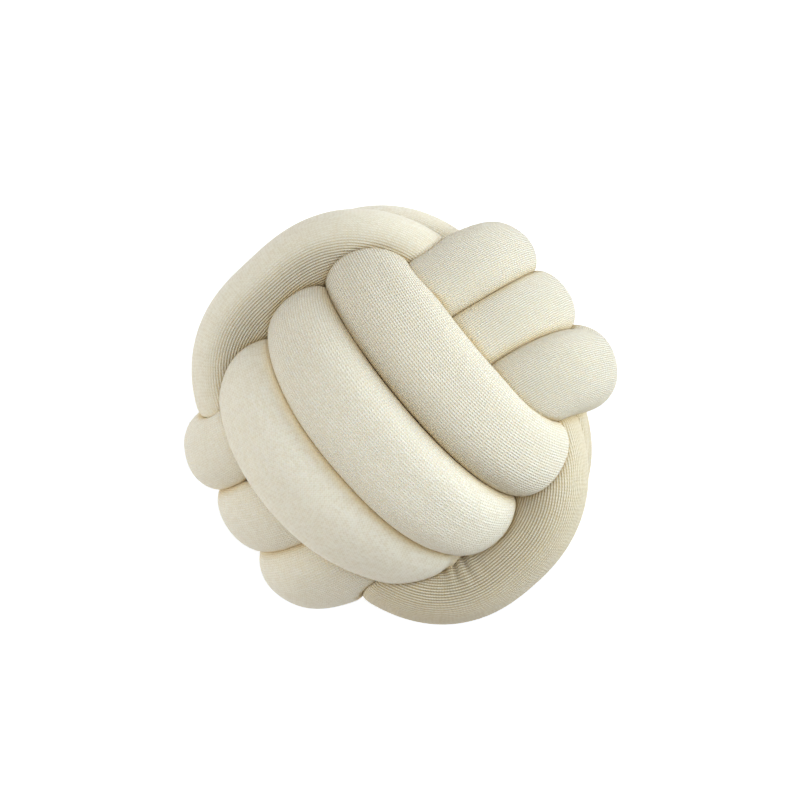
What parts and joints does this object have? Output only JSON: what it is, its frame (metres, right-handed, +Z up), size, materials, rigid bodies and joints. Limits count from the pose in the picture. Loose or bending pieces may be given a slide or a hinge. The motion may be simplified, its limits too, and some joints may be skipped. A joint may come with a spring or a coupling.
{
  "type": "knot cushion",
  "caption": "Round knot cushion: a ball tied as a monkey's fist from one long, softly stuffed tube of fine rib knit.",
  "frame": {"origin": "middle of the bounding box's base, at the level of the flat spot that the ball rests on", "axes": "+Z up, out of the face whose three bars show on top; +X along those bars; +Y across them, toward the side where three bars of the cross group come out from beneath"},
  "size_m": [0.2849, 0.2929, 0.2766],
  "materials": {
    "cream_knit": "matt cream cotton in a fine rib knit, its ribs running along the tube"
  },
  "bodies": {
    "root": {"knot_cushion": "cream_knit"}
  },
  "joints": []
}
